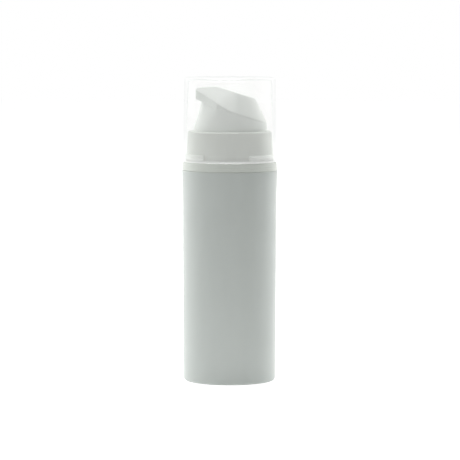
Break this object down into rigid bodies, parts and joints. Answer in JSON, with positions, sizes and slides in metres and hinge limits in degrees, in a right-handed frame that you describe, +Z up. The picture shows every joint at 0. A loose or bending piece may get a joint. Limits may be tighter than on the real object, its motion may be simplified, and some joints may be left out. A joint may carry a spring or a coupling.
{
  "type": "airless pump bottle",
  "caption": "White cylindrical airless pump bottle with a pressing head, a beak-shaped spout, a rising follower piston and a clear overcap.",
  "frame": {"origin": "centre of the foot that the bottle stands on", "axes": "+Z up along the bottle's axis; the spout points along -X"},
  "size_m": [0.035, 0.035, 0.1118],
  "materials": {
    "bottle_white": "satin moulded polypropylene",
    "collar_white": "satin moulded polypropylene",
    "head_white": "satin moulded polypropylene",
    "overcap_clear": "clear polished",
    "pump_natural": "natural moulded",
    "stem_white": "smooth acetal",
    "piston_natural": "soft polyethylene",
    "gasket_white": "soft polyethylene",
    "spring_steel": "drawn wire",
    "ball_steel": "polished"
  },
  "bodies": {
    "bottle": {"bottle": "bottle_white", "neck_gasket": "gasket_white", "pump_housing": "pump_natural", "collar": "collar_white", "cylinder_gasket": "gasket_white", "pump_cylinder": "pump_natural", "lock_ring": "pump_natural", "valve_cage": "pump_natural"},
    "follower": {"follower_piston": "piston_natural"},
    "inlet_ball": {"inlet_ball": "ball_steel"},
    "plunger": {"stem": "stem_white", "valve_pin": "stem_white", "return_spring": "spring_steel"},
    "piston": {"main_piston": "piston_natural"},
    "head": {"actuator": "head_white", "nozzle_insert": "head_white"},
    "overcap": {"overcap": "overcap_clear"}
  },
  "joints": [
    {"name": "follower_slide", "type": "slide", "parent": "bottle", "child": "follower", "axis": [0, 0, 1], "range_m": [0, 0.0548]},
    {"name": "ball_lift", "type": "slide", "parent": "bottle", "child": "inlet_ball", "axis": [0, 0, 1], "range_m": [0, 0.0008]},
    {"name": "press", "type": "slide", "parent": "bottle", "child": "plunger", "axis": [0, 0, -1], "range_m": [0, 0.005], "stiffness_N_per_m": 1500, "springref_m": -0.004, "deforming": ["return_spring"]},
    {"name": "piston_slip", "type": "slide", "parent": "plunger", "child": "piston", "axis": [0, 0, 1], "range_m": [0, 0.001]},
    {"name": "head_swivel", "type": "hinge", "parent": "plunger", "child": "head", "pos_m": [0, 0, 0.0978], "axis": [0, 0, 1], "continuous": true},
    {"name": "cap_pull", "type": "slide", "parent": "bottle", "child": "overcap", "axis": [0, 0, 1], "range_m": [0, 0.04]}
  ]
}
